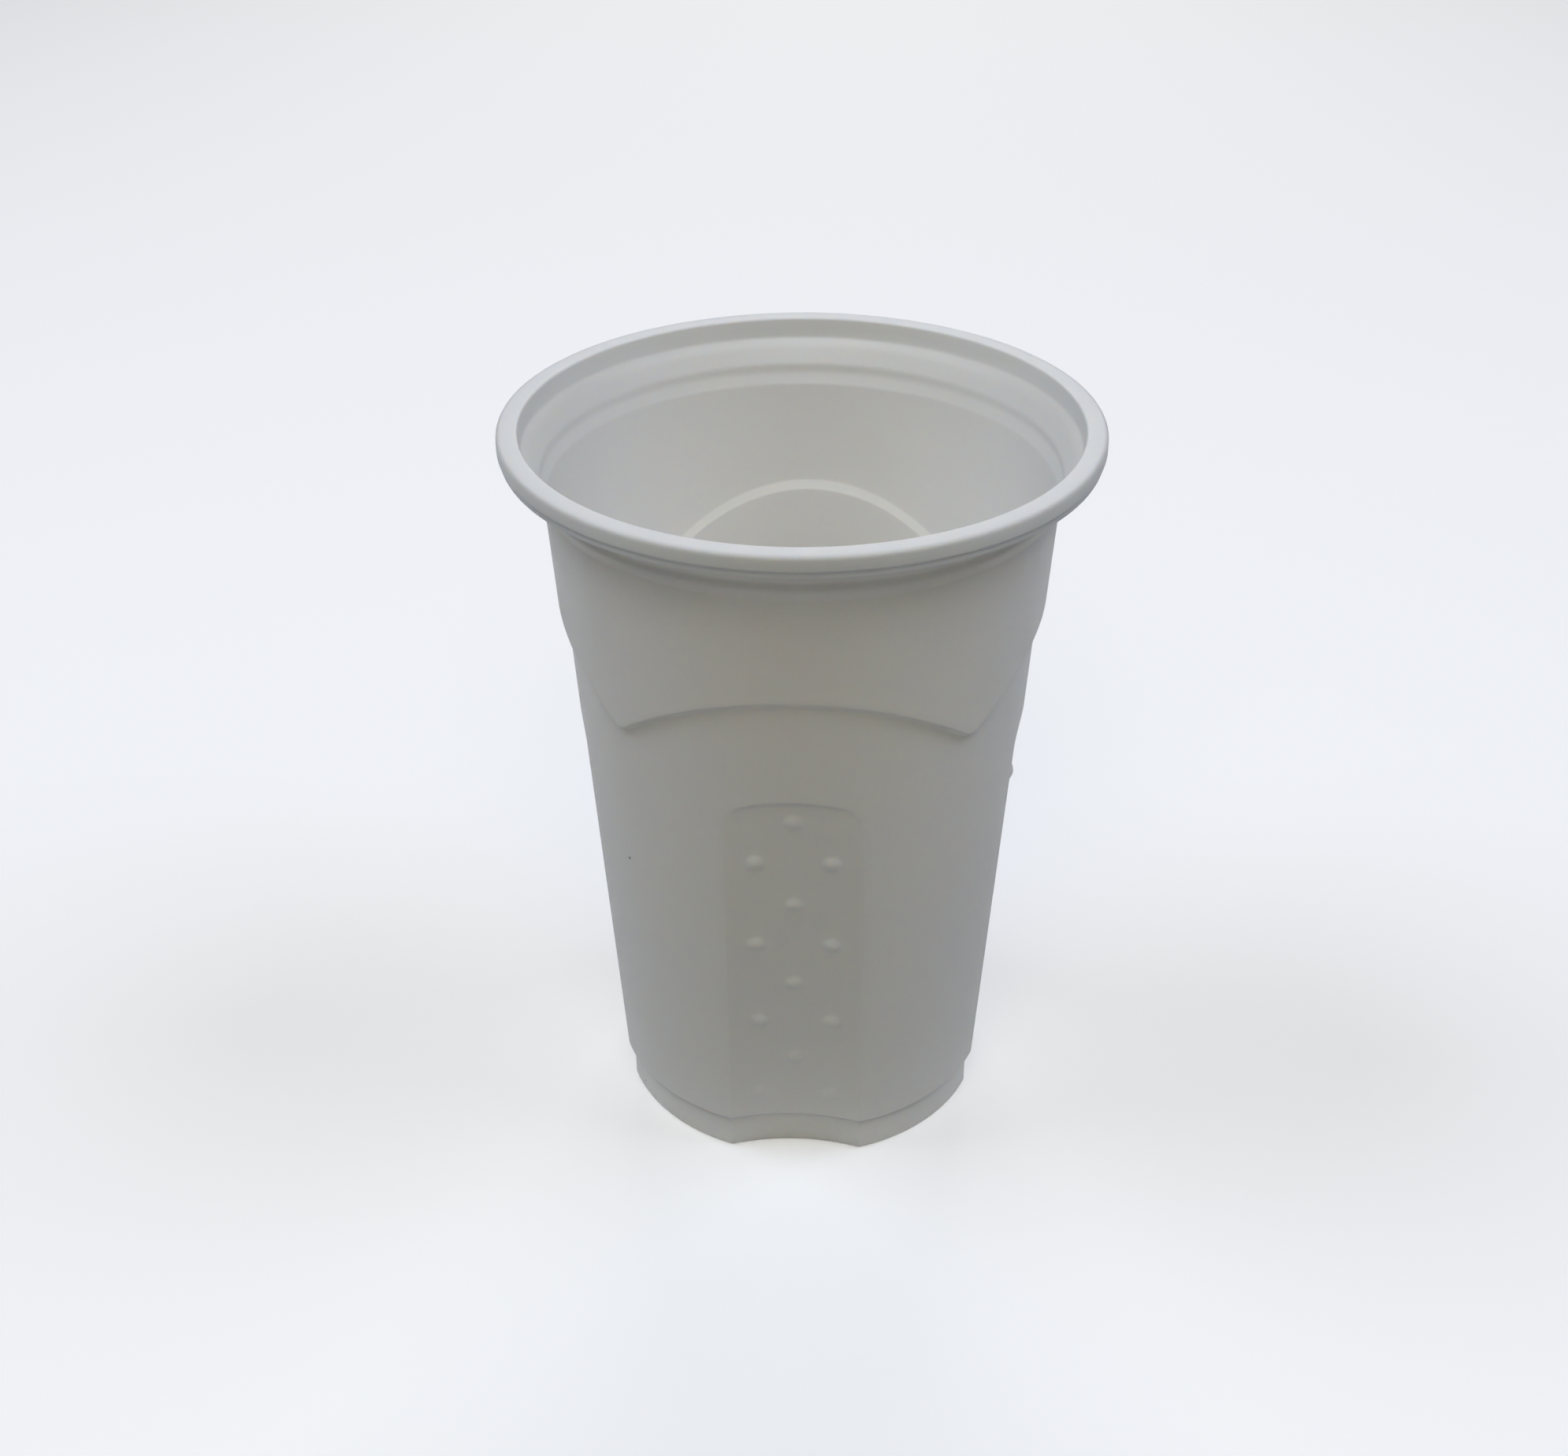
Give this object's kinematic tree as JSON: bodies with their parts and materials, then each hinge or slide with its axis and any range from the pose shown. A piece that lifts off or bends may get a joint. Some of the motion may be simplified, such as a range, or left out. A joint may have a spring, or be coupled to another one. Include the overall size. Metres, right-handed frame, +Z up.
{
  "type": "disposable drinking cup",
  "caption": "Thermoformed off-white drinking cup with a rolled rim, stacking ledge, scalloped step and dotted tongues that run down through the notched foot.",
  "frame": {"origin": "centre of the foot, on the surface that the cup stands on", "axes": "+Z up along the cup's axis; the middles of the tongues face -Y, +X, +Y and -X"},
  "size_m": [0.077, 0.077, 0.1],
  "materials": {
    "cup_body": "satin off-white, slightly translucent"
  },
  "bodies": {
    "root": {"cup_body": "cup_body"}
  },
  "joints": []
}
